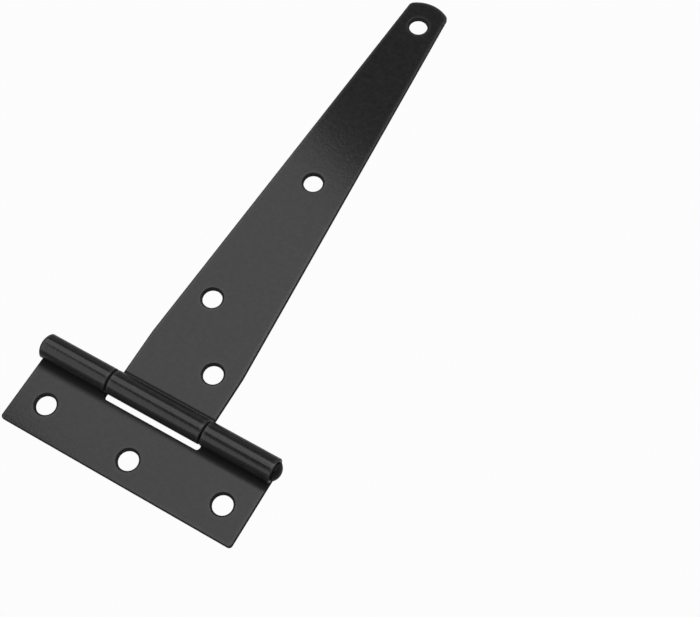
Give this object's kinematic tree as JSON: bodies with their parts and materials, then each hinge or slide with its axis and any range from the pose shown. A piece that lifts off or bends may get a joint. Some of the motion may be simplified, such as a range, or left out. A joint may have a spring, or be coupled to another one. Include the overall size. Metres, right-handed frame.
{
  "type": "tee hinge",
  "caption": "Light tee hinge of rolled black sheet steel: a notched cross leaf and a long tapered strap leaf turning on one headed pin.",
  "frame": {"origin": "on the flat back of the strap leaf, under the middle of the pin", "axes": "+X along the pin towards its head, +Y along the strap towards its tip, +Z out of the front of the leaves, on the knuckles' side"},
  "size_m": [0.0738, 0.172, 0.007],
  "materials": {
    "leaf_coat": "satin black baked coat on sheet steel",
    "pin_coat": "satin black baked coat on a steel pin"
  },
  "bodies": {
    "cross": {"cross_leaf": "leaf_coat", "hinge_pin": "pin_coat"},
    "strap": {"strap_leaf": "leaf_coat"}
  },
  "joints": [
    {"name": "strap_turn", "type": "hinge", "parent": "cross", "child": "strap", "pos_m": [0, 0, 0.0035], "axis": [1, 0, 0], "range_deg": [-100, 190]}
  ]
}
